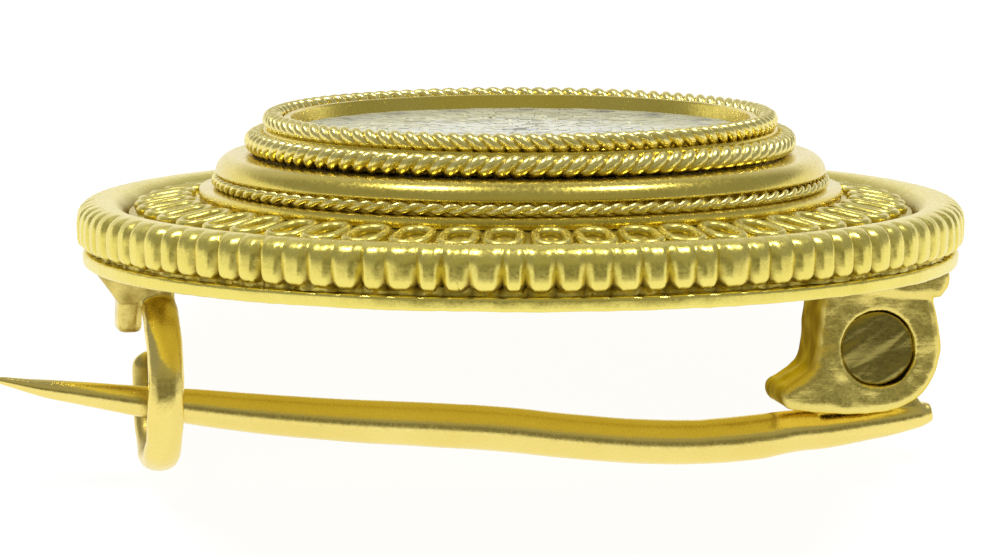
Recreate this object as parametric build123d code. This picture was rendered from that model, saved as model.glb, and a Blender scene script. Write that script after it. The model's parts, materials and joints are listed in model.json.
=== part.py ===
from build123d import *
import math
import os

os.makedirs("parts", exist_ok=True)

# A round gold brooch that frames a small mosaic, with a pin, a hook catch and a hinge on its back.
# Sizes are in millimetres. In the brooch's own frame the face looks up +Z, the pin runs along X
# with its point at -X, and the origin is the centre of the back plate's underside.
# The last section lays the finished brooch down as it rests by itself on a flat surface.

# Clearances
SOLDER_GAP = 0.03        # between pieces that sit against each other
RIVET_CLEARANCE = 0.04   # radial, between the hinge rivet and the pin's knuckle
SEAT_CLEARANCE = 0.02    # radial, between the rivet and the fixed lugs
KNUCKLE_SIDE_GAP = 0.06  # between the knuckle and each lug

# Back plate
PLATE_INSET = 0.20           # from the rim's outer edge in to the plate's
PLATE_THICKNESS = 0.45
PLATE_EDGE_ROUND = 0.12

# Reeded rim
RIM_OUTER_RADIUS = 14.0
RIM_WIRE_RADIUS = 0.81
RIM_RIBS = 100
RIB_GROOVE_DEPTH = 0.16
RIB_GROOVE_SHARE = 0.40  # of the rib pitch
RIM_CORNERS = 8

# Field with filigree loops
FIELD_WALL_HEIGHT = 1.18     # of the field's upright edge, inside the rim
FIELD_SHEET = 0.40
FIELD_SLOPE_DEGREES = 10.0
LOOP_COUNT = 50
LOOP_LENGTH = 1.92
LOOP_WIDTH = 1.14
LOOP_WIRE_WIDTH = 0.18
LOOP_WIRE_RISE = 0.15
LOOP_ROOT = 0.10             # depth of the wire's root in the sheet
LOOP_INSET = 0.15            # from the field's outer edge to the loops' outer ends
LOOP_TO_STEP = 0.16          # from the loops' inner ends to the collar's step

# Collar
STEP_THICKNESS = 0.34
STEP_LEDGE = 0.80            # width of the step's top, where the collar rope lies
COLLAR_MOULD_RADIUS = 0.60
COLLAR_OVERHANG = 0.30       # how far the moulding stands out over the rope's seat
COLLAR_WALL = 0.40
COLLAR_SEAT_WIDTH = 1.75     # flat top ring that carries the bezel
COLLAR_TOP_MARGIN = 0.32     # of that ring, left bare outside the bezel rope

# Twisted ropes: diameter, number of lobes and depth of the twist
COLLAR_ROPE_DIAMETER = 0.39
COLLAR_ROPE_LOBES = 106
BEZEL_ROPE_DIAMETER = 0.735
BEZEL_ROPE_LOBES = 100
CROWN_ROPE_DIAMETER = 0.62
CROWN_ROPE_LOBES = 100
ROPE_TWIST_DEPTH = 0.26      # share of the rope's radius
ROPE_STATIONS_PER_LOBE = 3
THICK_ROPE_CORNERS = 6
FINE_ROPE_CORNERS = 5
LAY_RIGHT = 1                # lobes rise to the right, seen from outside
LAY_LEFT = -1

# Bezel and mosaic
BEZEL_FLOOR = 0.30
BEZEL_SHOULDER_HEIGHT = 0.69
BEZEL_SHOULDER_WIDTH = 0.465
BEZEL_WALL = 0.25
BEZEL_LIP_HEIGHT = 0.45      # of the thin wall, above the shoulder
MOSAIC_THICKNESS = 0.39

# Catch: a hook of flat wire, with a foot beside it
CATCH_INSET = 2.30           # from the plate's edge in to the middle of the hook
CATCH_WIDTH = 1.15
CATCH_THICKNESS = 0.80
CATCH_OUTER_RADIUS = 2.82
CATCH_CENTRE_DROP = 3.60     # below the plate's underside
CATCH_EDGE_ROUND = 0.30
CATCH_TIP_DEGREES = 16.0     # height of the hook's free end, above level
CATCH_ROOT_DEGREES = 98.0    # where the hook meets its base
CATCH_BASE_REACH = 1.95      # from the middle of the hook out to the base's thin end
CATCH_BASE_WIDTH = 1.60
CATCH_BASE_THICKNESS = 1.05  # where the wedge meets the foot
CATCH_NECK_LENGTH = 0.95
CATCH_NECK_WIDTH = 1.20
CATCH_NECK_DEPTH = 1.30
FOOT_LENGTH = 0.78
FOOT_WIDTH = 1.00
FOOT_DROP = 2.05
FOOT_OFFSET = 0.85           # from the middle of the hook, away from the brooch's centre
FOOT_ROUND = 0.15

# Hinge: two lugs on a base, a rivet and the pin's knuckle between them
HINGE_INSET = 2.63           # from the plate's edge in to the hinge axis
HINGE_DROP = 2.75            # axis below the plate's underside
LUG_RADIUS = 2.00
LUG_THICKNESS = 1.10
LUG_NOSE_REACH = 2.80        # from the axis to the middle of the stop's rounded tip
LUG_NOSE_DROP = 1.42         # of that middle, below the axis
LUG_NOSE_RADIUS = 0.30
LUG_ANKLE_DROP = 0.35        # below the axis, where the upright side turns out to the nose
LUG_SIDE_REACH = 1.95        # from the axis to the lug's upright side
LUG_TOP_REACH = 1.70         # from the axis to the lug's upper outer corner
HINGE_BASE_THICKNESS = 1.20
HINGE_BASE_REACH = 2.30      # from the axis to the base's outer end
HINGE_BASE_UNDERCUT = 0.30
HINGE_WALL = 0.40            # thickness of the wall that joins the two lugs and their noses
KNUCKLE_WIDTH = 1.10
KNUCKLE_RADIUS = 1.50
RIVET_RADIUS = 0.80
RIVET_HEAD_RADIUS = 1.18
RIVET_HEAD_THICKNESS = 0.25
RIVET_RECESS = 0.22          # from the lug's face in to the rivet's head

# Pin stem: its length runs from the hinge axis to the point, and its depth from the plate's
# underside to the lowest stretch of its centre line.
POINT_REACH = 5.43           # from the middle of the hook out to the point
STEM_DEPTH = 5.81
STEM_RADIUS = 0.71
HEEL_REACH = 2.03            # from the axis to the knuckle's heel, along X
HEEL_DROP = 2.58             # of the heel's lower corner, below the axis
HEEL_RISE = 0.45             # height of the heel's end
HEEL_SLANT = 0.06            # how far the heel's end leans in

# Each row is a round section of the stem: share of the length from the hinge axis, share of the
# depth, and share of the stem's radius.
STEM_SECTIONS = [
    # along, depth, radius
    (-0.010, 0.915, 0.62),
    (0.010, 0.930, 0.72),
    (0.050, 0.944, 0.87),
    (0.085, 0.952, 0.94),
    (0.130, 0.981, 1.00),
    (0.185, 1.000, 1.00),
    (0.240, 0.998, 1.00),
    (0.330, 0.964, 1.00),
    (0.420, 0.912, 1.00),
    (0.510, 0.877, 0.99),
    (0.600, 0.847, 0.95),
    (0.690, 0.805, 0.89),
    (0.765, 0.761, 0.80),
    (0.838, 0.716, 0.66),
    (0.894, 0.675, 0.52),
    (0.940, 0.640, 0.37),
    (0.980, 0.600, 0.18),
    (1.000, 0.580, 0.05),
]

# Heights and radii that follow
PLATE_RADIUS = RIM_OUTER_RADIUS - PLATE_INSET
PLATE_TOP = PLATE_THICKNESS
RIM_CENTRE_RADIUS = RIM_OUTER_RADIUS - RIM_WIRE_RADIUS
RIM_CENTRE_HEIGHT = PLATE_TOP + SOLDER_GAP + RIM_WIRE_RADIUS
FIELD_RADIUS = RIM_CENTRE_RADIUS - RIM_WIRE_RADIUS - SOLDER_GAP
FIELD_EDGE_HEIGHT = PLATE_TOP + SOLDER_GAP + FIELD_WALL_HEIGHT
FIELD_RISE_RATE = math.tan(math.radians(FIELD_SLOPE_DEGREES))
LOOP_CENTRE_RADIUS = FIELD_RADIUS - LOOP_INSET - LOOP_LENGTH / 2
STEP_RADIUS = LOOP_CENTRE_RADIUS - LOOP_LENGTH / 2 - LOOP_TO_STEP
FIELD_SHELF_HEIGHT = FIELD_EDGE_HEIGHT + (FIELD_RADIUS - STEP_RADIUS) * FIELD_RISE_RATE
STEP_BOTTOM = FIELD_SHELF_HEIGHT + SOLDER_GAP
STEP_TOP = STEP_BOTTOM + STEP_THICKNESS
ROPE_SEAT_RADIUS = STEP_RADIUS - STEP_LEDGE
COLLAR_ROPE_RADIUS = ROPE_SEAT_RADIUS + SOLDER_GAP + COLLAR_ROPE_DIAMETER / 2
COLLAR_ROPE_HEIGHT = STEP_TOP + SOLDER_GAP + COLLAR_ROPE_DIAMETER / 2
MOULD_BOTTOM = STEP_TOP + COLLAR_ROPE_DIAMETER + 2 * SOLDER_GAP
MOULD_OUTER_RADIUS = ROPE_SEAT_RADIUS + COLLAR_OVERHANG
COLLAR_TOP_RADIUS = MOULD_OUTER_RADIUS - COLLAR_MOULD_RADIUS
COLLAR_TOP = MOULD_BOTTOM + COLLAR_MOULD_RADIUS
COLLAR_INNER_RADIUS = ROPE_SEAT_RADIUS - COLLAR_WALL
BEZEL_ROPE_RADIUS = COLLAR_TOP_RADIUS - BEZEL_ROPE_DIAMETER / 2 - COLLAR_TOP_MARGIN
BEZEL_ROPE_HEIGHT = COLLAR_TOP + SOLDER_GAP + BEZEL_ROPE_DIAMETER / 2
BEZEL_RADIUS = BEZEL_ROPE_RADIUS - BEZEL_ROPE_DIAMETER / 2 - SOLDER_GAP
BEZEL_BOTTOM = COLLAR_TOP + SOLDER_GAP
BEZEL_SHOULDER = BEZEL_BOTTOM + BEZEL_SHOULDER_HEIGHT
BEZEL_LIP_RADIUS = BEZEL_RADIUS - BEZEL_SHOULDER_WIDTH
BEZEL_LIP = BEZEL_SHOULDER + BEZEL_LIP_HEIGHT
CROWN_ROPE_RADIUS = BEZEL_LIP_RADIUS + SOLDER_GAP + CROWN_ROPE_DIAMETER / 2
CROWN_ROPE_HEIGHT = BEZEL_SHOULDER + SOLDER_GAP + CROWN_ROPE_DIAMETER / 2
MOSAIC_RADIUS = BEZEL_LIP_RADIUS - BEZEL_WALL - SOLDER_GAP
MOSAIC_BOTTOM = BEZEL_BOTTOM + BEZEL_FLOOR + SOLDER_GAP
CATCH_X = CATCH_INSET - PLATE_RADIUS
HINGE_X = PLATE_RADIUS - HINGE_INSET
STEM_LENGTH = HINGE_X - CATCH_X + POINT_REACH
LUG_INNER_Y = KNUCKLE_WIDTH / 2 + KNUCKLE_SIDE_GAP
LUG_OUTER_Y = LUG_INNER_Y + LUG_THICKNESS


def turned(outline):
    """Turn a closed outline, drawn as radius and height, about the brooch's axis."""
    return revolve(Plane.XZ * make_face(outline), Axis.Z)


def side_slab(outline, y_from, y_to):
    """Slab between two Y values, with an outline drawn as X and Z."""
    return extrude(Plane.XZ.offset(-y_to) * make_face(outline), y_to - y_from)


def cylinder_along_y(x, z, radius, y_from, y_to):
    """Round bar along Y."""
    return extrude(Plane.XZ.offset(-y_to) * Pos(x, z) * Circle(radius), y_to - y_from)


def ring_of_triangles(stations, corners, point, lay):
    """Closed ring whose corner c at station s lies at point(s, c)."""
    faces = []
    for s in range(stations):
        for c in range(corners):
            near = point(s, c)
            near_up = point(s, c + 1)
            far = point(s + 1, c)
            far_up = point(s + 1, c + 1)
            if lay == LAY_RIGHT:
                triangles = [(near, far, far_up), (near, far_up, near_up)]
            else:
                triangles = [(near, far, near_up), (far, far_up, near_up)]
            for triangle in triangles:
                faces.append(Face(Wire.make_polygon(triangle)))
    return Solid(Shell(faces))


def point_on_ring(ring_radius, height, section_radius, turn, corner_angle):
    """Point of a ring's section, at an angle round the brooch and an angle round the section."""
    radius = ring_radius + section_radius * math.cos(corner_angle)
    z = height + section_radius * math.sin(corner_angle)
    return Vector(radius * math.cos(turn), radius * math.sin(turn), z)


def make_back_plate():
    """Flat gold disc that closes the back."""
    disc = Pos(0, 0, PLATE_THICKNESS / 2) * Cylinder(PLATE_RADIUS, PLATE_THICKNESS)
    return fillet(disc.edges(), PLATE_EDGE_ROUND)


def make_reeded_rim():
    """Thick ring with ribs across it, parted by grooves."""
    groove = RIB_GROOVE_SHARE / 2
    rib_steps = [0.0, groove, 1.0 - groove]
    stations = RIM_RIBS * len(rib_steps)

    def point(station, corner):
        rib, step = divmod(station % stations, len(rib_steps))
        turn = 2 * math.pi * (rib + rib_steps[step]) / RIM_RIBS
        section_radius = RIM_WIRE_RADIUS
        if step == 0:
            section_radius = RIM_WIRE_RADIUS - RIB_GROOVE_DEPTH
        corner_angle = 2 * math.pi * (corner % RIM_CORNERS) / RIM_CORNERS
        return point_on_ring(RIM_CENTRE_RADIUS, RIM_CENTRE_HEIGHT, section_radius, turn, corner_angle)

    return ring_of_triangles(stations, RIM_CORNERS, point, LAY_RIGHT)


def make_rope(ring_radius, height, diameter, lobes, corners, lay):
    """Rope of two wires twisted together and bent into a ring."""
    stations = lobes * ROPE_STATIONS_PER_LOBE

    def point(station, corner):
        turn = 2 * math.pi * (station % stations) / stations
        corner_angle = 2 * math.pi * (corner % corners) / corners
        twist = lay * 2 * math.pi * (station % stations) / ROPE_STATIONS_PER_LOBE
        crest = (1 + math.cos(2 * corner_angle - twist)) / 2
        section_radius = diameter / 2 * (1 - ROPE_TWIST_DEPTH * (1 - crest))
        return point_on_ring(ring_radius, height, section_radius, turn, corner_angle)

    return ring_of_triangles(stations, corners, point, lay)


def make_filigree_field():
    """Sloping sheet round the collar, with a ring of flat wire loops soldered on it."""
    slope_foot = FIELD_RADIUS - FIELD_SHEET
    sheet = turned(Polyline(
        (FIELD_RADIUS, PLATE_TOP + SOLDER_GAP),
        (FIELD_RADIUS, FIELD_EDGE_HEIGHT),
        (STEP_RADIUS, FIELD_SHELF_HEIGHT),
        (COLLAR_INNER_RADIUS, FIELD_SHELF_HEIGHT),
        (COLLAR_INNER_RADIUS, FIELD_SHELF_HEIGHT - FIELD_SHEET),
        (STEP_RADIUS, FIELD_SHELF_HEIGHT - FIELD_SHEET),
        (slope_foot, FIELD_EDGE_HEIGHT - FIELD_SHEET),
        (slope_foot, PLATE_TOP + SOLDER_GAP),
        close=True,
    ))
    outer = SlotOverall(LOOP_LENGTH, LOOP_WIDTH)
    inner = SlotOverall(LOOP_LENGTH - 2 * LOOP_WIRE_WIDTH, LOOP_WIDTH - 2 * LOOP_WIRE_WIDTH)
    loop = extrude(outer - inner, LOOP_ROOT + LOOP_WIRE_RISE)
    loop_height = FIELD_EDGE_HEIGHT + (FIELD_RADIUS - LOOP_CENTRE_RADIUS) * FIELD_RISE_RATE
    seat = Pos(LOOP_CENTRE_RADIUS, 0, loop_height) * Rot(0, FIELD_SLOPE_DEGREES, 0) * Pos(0, 0, -LOOP_ROOT)
    loops = [Rot(0, 0, 360 * i / LOOP_COUNT) * seat * loop for i in range(LOOP_COUNT)]
    return sheet.fuse(*loops)


def make_collar():
    """Hollow ring with a flat step, a seat for the rope and a quarter-round moulding above it."""
    inner_top = COLLAR_TOP - COLLAR_WALL
    seat_inner_radius = COLLAR_TOP_RADIUS - COLLAR_SEAT_WIDTH
    bulge = COLLAR_MOULD_RADIUS * math.sqrt(0.5)
    outside = Polyline(
        (COLLAR_INNER_RADIUS, STEP_BOTTOM),
        (STEP_RADIUS, STEP_BOTTOM),
        (STEP_RADIUS, STEP_TOP),
        (ROPE_SEAT_RADIUS, STEP_TOP),
        (ROPE_SEAT_RADIUS, MOULD_BOTTOM),
        (MOULD_OUTER_RADIUS, MOULD_BOTTOM),
    )
    moulding = ThreePointArc(
        (MOULD_OUTER_RADIUS, MOULD_BOTTOM),
        (COLLAR_TOP_RADIUS + bulge, MOULD_BOTTOM + bulge),
        (COLLAR_TOP_RADIUS, COLLAR_TOP),
    )
    inside = Polyline(
        (COLLAR_TOP_RADIUS, COLLAR_TOP),
        (seat_inner_radius, COLLAR_TOP),
        (seat_inner_radius, inner_top),
        (COLLAR_INNER_RADIUS, inner_top),
        (COLLAR_INNER_RADIUS, STEP_BOTTOM),
    )
    return turned(outside + moulding + inside)


def make_bezel():
    """Shallow cup that holds the mosaic, with a shoulder outside for the crown rope."""
    inner_radius = BEZEL_LIP_RADIUS - BEZEL_WALL
    return turned(Polyline(
        (0, BEZEL_BOTTOM),
        (BEZEL_RADIUS, BEZEL_BOTTOM),
        (BEZEL_RADIUS, BEZEL_SHOULDER),
        (BEZEL_LIP_RADIUS, BEZEL_SHOULDER),
        (BEZEL_LIP_RADIUS, BEZEL_LIP),
        (inner_radius, BEZEL_LIP),
        (inner_radius, BEZEL_BOTTOM + BEZEL_FLOOR),
        (0, BEZEL_BOTTOM + BEZEL_FLOOR),
        close=True,
    ))


def make_mosaic_panel():
    """Disc of small glass pieces, ground flat."""
    return Pos(0, 0, MOSAIC_BOTTOM + MOSAIC_THICKNESS / 2) * Cylinder(MOSAIC_RADIUS, MOSAIC_THICKNESS)


def make_catch():
    """Hook of flat wire on a short neck and a wedge-shaped base, open towards the back, with its foot."""
    section_radius = CATCH_OUTER_RADIUS - CATCH_THICKNESS / 2
    section = Plane.XY * Pos(CATCH_X, section_radius) * RectangleRounded(
        CATCH_WIDTH, CATCH_THICKNESS, CATCH_EDGE_ROUND)
    centre_line = Axis((0, 0, 0), (1, 0, 0))
    sweep_degrees = 360 - CATCH_ROOT_DEGREES + CATCH_TIP_DEGREES
    hook = Rot(CATCH_ROOT_DEGREES, 0, 0) * revolve(section, centre_line, sweep_degrees)
    hook = Pos(0, 0, -CATCH_CENTRE_DROP) * hook
    top = -SOLDER_GAP
    neck = Pos(CATCH_X, 0, top - CATCH_NECK_DEPTH / 2) * Box(
        CATCH_NECK_LENGTH, CATCH_NECK_WIDTH, CATCH_NECK_DEPTH)
    base_bottom = top - CATCH_BASE_THICKNESS
    base = side_slab(Polyline(
        (CATCH_X - CATCH_BASE_REACH, top),
        (CATCH_X, top),
        (CATCH_X, base_bottom),
        (CATCH_X - FOOT_OFFSET - FOOT_LENGTH / 2, base_bottom),
        close=True,
    ), -CATCH_BASE_WIDTH / 2, CATCH_BASE_WIDTH / 2)
    foot = Pos(CATCH_X - FOOT_OFFSET, FOOT_WIDTH / 2, top - FOOT_DROP / 2) * Box(
        FOOT_LENGTH, FOOT_WIDTH, FOOT_DROP)
    foot = fillet(foot.faces().sort_by(Axis.Z)[0].edges(), FOOT_ROUND)
    return hook.fuse(neck, base, foot)


def lug_outline():
    """Side view of the hinge's lugs: round at the axis, with a nose that stops the pin."""
    top = -SOLDER_GAP
    side_x = HINGE_X - LUG_SIDE_REACH

    def on_circle(x, z, radius, degrees):
        angle = math.radians(degrees)
        return (x + radius * math.cos(angle), z + radius * math.sin(angle))

    def on_nose(degrees):
        return on_circle(HINGE_X - LUG_NOSE_REACH, -HINGE_DROP - LUG_NOSE_DROP, LUG_NOSE_RADIUS, degrees)

    def on_lug(degrees):
        return on_circle(HINGE_X, -HINGE_DROP, LUG_RADIUS, degrees)

    side = Polyline((side_x, top), (side_x, -HINGE_DROP - LUG_ANKLE_DROP), on_nose(130))
    nose = ThreePointArc(on_nose(130), on_nose(195), on_nose(260))
    sole = Line(on_nose(260), on_lug(260))
    round_end = ThreePointArc(on_lug(260), on_lug(310), on_lug(360))
    back = Polyline(on_lug(360), (HINGE_X + LUG_TOP_REACH, top), (side_x, top))
    return side + nose + sole + round_end + back


def make_hinge():
    """Base with two lugs joined by a wall, bored for the rivet and sunk round its heads."""
    lugs = side_slab(lug_outline(), -LUG_OUTER_Y, LUG_OUTER_Y)
    top = -SOLDER_GAP
    base_left = HINGE_X - LUG_SIDE_REACH
    base_right = HINGE_X + HINGE_BASE_REACH
    base = side_slab(Polyline(
        (base_left, top),
        (HINGE_X + LUG_TOP_REACH, top),
        (base_right, top - HINGE_BASE_UNDERCUT),
        (base_right, top - HINGE_BASE_THICKNESS),
        (base_left, top - HINGE_BASE_THICKNESS),
        close=True,
    ), -LUG_OUTER_Y, LUG_OUTER_Y)
    block = lugs.fuse(base)
    slot_left = base_left + HINGE_WALL
    slot_right = base_right + LUG_RADIUS
    slot_bottom = -HINGE_DROP - 2 * LUG_RADIUS
    slot = side_slab(Polyline(
        (slot_left, 0),
        (slot_right, 0),
        (slot_right, slot_bottom),
        (slot_left, slot_bottom),
        close=True,
    ), -LUG_INNER_Y, LUG_INNER_Y)
    bore = cylinder_along_y(HINGE_X, -HINGE_DROP, RIVET_RADIUS + SEAT_CLEARANCE, -LUG_OUTER_Y, LUG_OUTER_Y)
    sink_depth = RIVET_RECESS + RIVET_HEAD_THICKNESS + SOLDER_GAP
    sink_radius = RIVET_HEAD_RADIUS + SEAT_CLEARANCE
    front_sink = cylinder_along_y(
        HINGE_X, -HINGE_DROP, sink_radius, -LUG_OUTER_Y, -LUG_OUTER_Y + sink_depth)
    back_sink = cylinder_along_y(
        HINGE_X, -HINGE_DROP, sink_radius, LUG_OUTER_Y - sink_depth, LUG_OUTER_Y)
    return block.cut(slot, bore, front_sink, back_sink)


def make_hinge_rivet():
    """Rivet through the lugs and the knuckle, with a low head at each end."""
    head_outer = LUG_OUTER_Y - RIVET_RECESS
    head_inner = head_outer - RIVET_HEAD_THICKNESS
    shank = cylinder_along_y(HINGE_X, -HINGE_DROP, RIVET_RADIUS, -head_outer, head_outer)
    front_head = cylinder_along_y(HINGE_X, -HINGE_DROP, RIVET_HEAD_RADIUS, -head_outer, -head_inner)
    back_head = cylinder_along_y(HINGE_X, -HINGE_DROP, RIVET_HEAD_RADIUS, head_inner, head_outer)
    return shank.fuse(front_head, back_head)


def stem_station(row):
    """Place and radius of one section of the stem."""
    along, depth, radius = row
    return HINGE_X - STEM_LENGTH * along, -STEM_DEPTH * depth, STEM_RADIUS * radius


def make_pin_stem():
    """Tapered, slightly bowed stem with the knuckle that turns on the rivet, and its heel."""
    stations = [stem_station(row) for row in STEM_SECTIONS]
    sections = [Pos(x, 0, z) * (Plane.YZ * Circle(radius)) for x, z, radius in stations]
    stem = loft(sections, ruled=True)
    half = KNUCKLE_WIDTH / 2
    knuckle = cylinder_along_y(HINGE_X, -HINGE_DROP, KNUCKLE_RADIUS, -half, half)
    root_x, root_z, root_radius = stations[2]
    under_x, under_z, under_radius = stations[1]
    heel_x = HINGE_X + HEEL_REACH
    heel_z = -HINGE_DROP - HEEL_DROP
    cheek = KNUCKLE_RADIUS * math.sqrt(0.5)
    web = side_slab(Polyline(
        (HINGE_X - cheek, -HINGE_DROP - cheek),
        (root_x, root_z),
        (root_x, root_z - root_radius),
        (under_x, under_z - under_radius),
        (heel_x, heel_z),
        (heel_x - HEEL_SLANT, heel_z + HEEL_RISE),
        (HINGE_X + cheek, -HINGE_DROP - cheek),
        close=True,
    ), -half, half)
    bore_radius = RIVET_RADIUS + RIVET_CLEARANCE
    bore = cylinder_along_y(HINGE_X, -HINGE_DROP, bore_radius, -KNUCKLE_WIDTH, KNUCKLE_WIDTH)
    return stem.fuse(knuckle, web).cut(bore)


def rest_normal():
    """Direction, in the brooch's own frame, that points straight up when the brooch lies down.

    It stands on the hook, the lowest stretch of the pin and the back edge of the plate.
    """
    tilt = 0.0
    roll = 0.0
    stations = [stem_station(row) for row in STEM_SECTIONS]
    belly_x = min(stations, key=lambda station: station[1] - station[2])[0]
    for _ in range(60):
        nx = math.sin(roll)
        ny = -math.sin(tilt) * math.cos(roll)
        nz = math.cos(tilt) * math.cos(roll)
        plate = (PLATE_EDGE_ROUND - PLATE_RADIUS) * math.hypot(nx, ny) + PLATE_EDGE_ROUND * (nz - 1)
        catch = nx * CATCH_X - nz * CATCH_CENTRE_DROP
        catch -= (CATCH_OUTER_RADIUS - CATCH_EDGE_ROUND) * math.hypot(ny, nz) + CATCH_EDGE_ROUND
        catch -= abs(nx) * (CATCH_WIDTH / 2 - CATCH_EDGE_ROUND)
        belly = min(nx * x + nz * z - radius * math.hypot(ny, nz) for x, z, radius in stations)
        tilt += (plate - catch) / PLATE_RADIUS
        roll -= (belly - catch) / (belly_x - CATCH_X)
    return Vector(nx, ny, nz)


pieces = {
    "back_plate": make_back_plate(),
    "reeded_rim": make_reeded_rim(),
    "filigree_field": make_filigree_field(),
    "collar": make_collar(),
    "collar_rope": make_rope(
        COLLAR_ROPE_RADIUS, COLLAR_ROPE_HEIGHT, COLLAR_ROPE_DIAMETER,
        COLLAR_ROPE_LOBES, FINE_ROPE_CORNERS, LAY_RIGHT),
    "bezel": make_bezel(),
    "bezel_rope": make_rope(
        BEZEL_ROPE_RADIUS, BEZEL_ROPE_HEIGHT, BEZEL_ROPE_DIAMETER,
        BEZEL_ROPE_LOBES, THICK_ROPE_CORNERS, LAY_RIGHT),
    "crown_rope": make_rope(
        CROWN_ROPE_RADIUS, CROWN_ROPE_HEIGHT, CROWN_ROPE_DIAMETER,
        CROWN_ROPE_LOBES, THICK_ROPE_CORNERS, LAY_LEFT),
    "mosaic_panel": make_mosaic_panel(),
    "catch": make_catch(),
    "hinge": make_hinge(),
    "hinge_rivet": make_hinge_rivet(),
    "pin_stem": make_pin_stem(),
}

# Lay the brooch down, then put the origin under the middle of its box.
up = rest_normal()
along = Vector(1, 0, 0) - up * up.X
laid = Plane(origin=(0, 0, 0), x_dir=along, z_dir=up).location.inverse()
box = Compound(children=[laid * piece for piece in pieces.values()]).bounding_box()
centre = box.center()
rest = Pos(-centre.X, -centre.Y, -box.min.Z) * laid

for name, piece in pieces.items():
    export_step(rest * piece.solid(), f"parts/{name}.step")

hinge_point = rest * Pos(HINGE_X, 0, -HINGE_DROP)
tilt_degrees = math.degrees(math.acos(up.Z))
print("box", box.size)
print("tilt of the face from level, degrees", round(tilt_degrees, 3))
print("hinge axis passes through", hinge_point.position)
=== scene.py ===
import json
import math
import random

import bmesh
import bpy
from mathutils import Euler, Matrix, Vector, noise


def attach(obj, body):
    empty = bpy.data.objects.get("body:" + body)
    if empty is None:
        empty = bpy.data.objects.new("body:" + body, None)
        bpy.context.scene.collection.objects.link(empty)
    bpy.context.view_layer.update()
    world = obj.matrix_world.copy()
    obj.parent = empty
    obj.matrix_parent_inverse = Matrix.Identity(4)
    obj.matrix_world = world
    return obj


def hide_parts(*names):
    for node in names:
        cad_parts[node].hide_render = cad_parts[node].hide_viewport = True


# The brooch is shaped in its own frame, in millimetres: the face looks up +Z, the pin runs along X
# with its point at -X, and the origin is the centre of the back plate's underside. Each finished
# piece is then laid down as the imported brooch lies, in metres.
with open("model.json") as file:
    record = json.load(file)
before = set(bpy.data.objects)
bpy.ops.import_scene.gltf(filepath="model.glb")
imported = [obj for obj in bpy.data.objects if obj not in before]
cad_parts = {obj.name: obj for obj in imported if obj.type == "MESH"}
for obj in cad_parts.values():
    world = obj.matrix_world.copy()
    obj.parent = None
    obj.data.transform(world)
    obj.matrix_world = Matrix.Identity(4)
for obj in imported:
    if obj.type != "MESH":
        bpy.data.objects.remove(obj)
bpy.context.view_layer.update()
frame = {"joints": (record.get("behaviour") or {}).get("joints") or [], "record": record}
MM = 0.001
rng = random.Random(28)
bpy.context.scene.view_settings.view_transform = "Standard"

# Sizes that the CAD source has too
SOLDER_GAP = 0.03
PLATE_RADIUS = 13.80
PLATE_TOP = 0.45
RIM_CENTRE_RADIUS = 13.19
RIM_CENTRE_HEIGHT = 1.29
RIM_WIRE_RADIUS = 0.81
RIM_RIBS = 100
FIELD_RADIUS = 12.35
FIELD_EDGE_HEIGHT = 1.66
FIELD_SHEET = 0.40
FIELD_SLOPE = math.radians(10.0)
LOOP_COUNT = 50
LOOP_LENGTH = 1.92
LOOP_WIDTH = 1.14
LOOP_CENTRE_RADIUS = 11.24
STEP_RADIUS = 10.12
FIELD_SHELF_HEIGHT = FIELD_EDGE_HEIGHT + (FIELD_RADIUS - STEP_RADIUS) * math.tan(FIELD_SLOPE)
STEP_BOTTOM = FIELD_SHELF_HEIGHT + SOLDER_GAP
STEP_TOP = STEP_BOTTOM + 0.34
ROPE_SEAT_RADIUS = 9.32
COLLAR_INNER_RADIUS = 8.92
COLLAR_ROPE_DIAMETER = 0.39
COLLAR_ROPE_RADIUS = ROPE_SEAT_RADIUS + SOLDER_GAP + COLLAR_ROPE_DIAMETER / 2
COLLAR_ROPE_HEIGHT = STEP_TOP + SOLDER_GAP + COLLAR_ROPE_DIAMETER / 2
COLLAR_ROPE_LOBES = 106
MOULD_BOTTOM = STEP_TOP + COLLAR_ROPE_DIAMETER + 2 * SOLDER_GAP
MOULD_OUTER_RADIUS = 9.62
MOULD_RADIUS = 0.60
COLLAR_TOP_RADIUS = MOULD_OUTER_RADIUS - MOULD_RADIUS
COLLAR_TOP = MOULD_BOTTOM + MOULD_RADIUS
COLLAR_SEAT_INNER = COLLAR_TOP_RADIUS - 1.75
COLLAR_WALL = 0.40
BEZEL_ROPE_DIAMETER = 0.735
BEZEL_ROPE_RADIUS = COLLAR_TOP_RADIUS - BEZEL_ROPE_DIAMETER / 2 - 0.32
BEZEL_ROPE_HEIGHT = COLLAR_TOP + SOLDER_GAP + BEZEL_ROPE_DIAMETER / 2
BEZEL_ROPE_LOBES = 100
BEZEL_RADIUS = BEZEL_ROPE_RADIUS - BEZEL_ROPE_DIAMETER / 2 - SOLDER_GAP
BEZEL_BOTTOM = COLLAR_TOP + SOLDER_GAP
BEZEL_FLOOR = 0.30
BEZEL_SHOULDER = BEZEL_BOTTOM + 0.69
BEZEL_LIP_RADIUS = BEZEL_RADIUS - 0.465
BEZEL_WALL = 0.25
BEZEL_LIP = BEZEL_SHOULDER + 0.45
CROWN_ROPE_DIAMETER = 0.62
CROWN_ROPE_RADIUS = BEZEL_LIP_RADIUS + SOLDER_GAP + CROWN_ROPE_DIAMETER / 2
CROWN_ROPE_HEIGHT = BEZEL_SHOULDER + SOLDER_GAP + CROWN_ROPE_DIAMETER / 2
CROWN_ROPE_LOBES = 100
MOSAIC_RADIUS = BEZEL_LIP_RADIUS - BEZEL_WALL - SOLDER_GAP
MOSAIC_BOTTOM = BEZEL_BOTTOM + BEZEL_FLOOR + SOLDER_GAP
MOSAIC_TOP = MOSAIC_BOTTOM + 0.39
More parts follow.
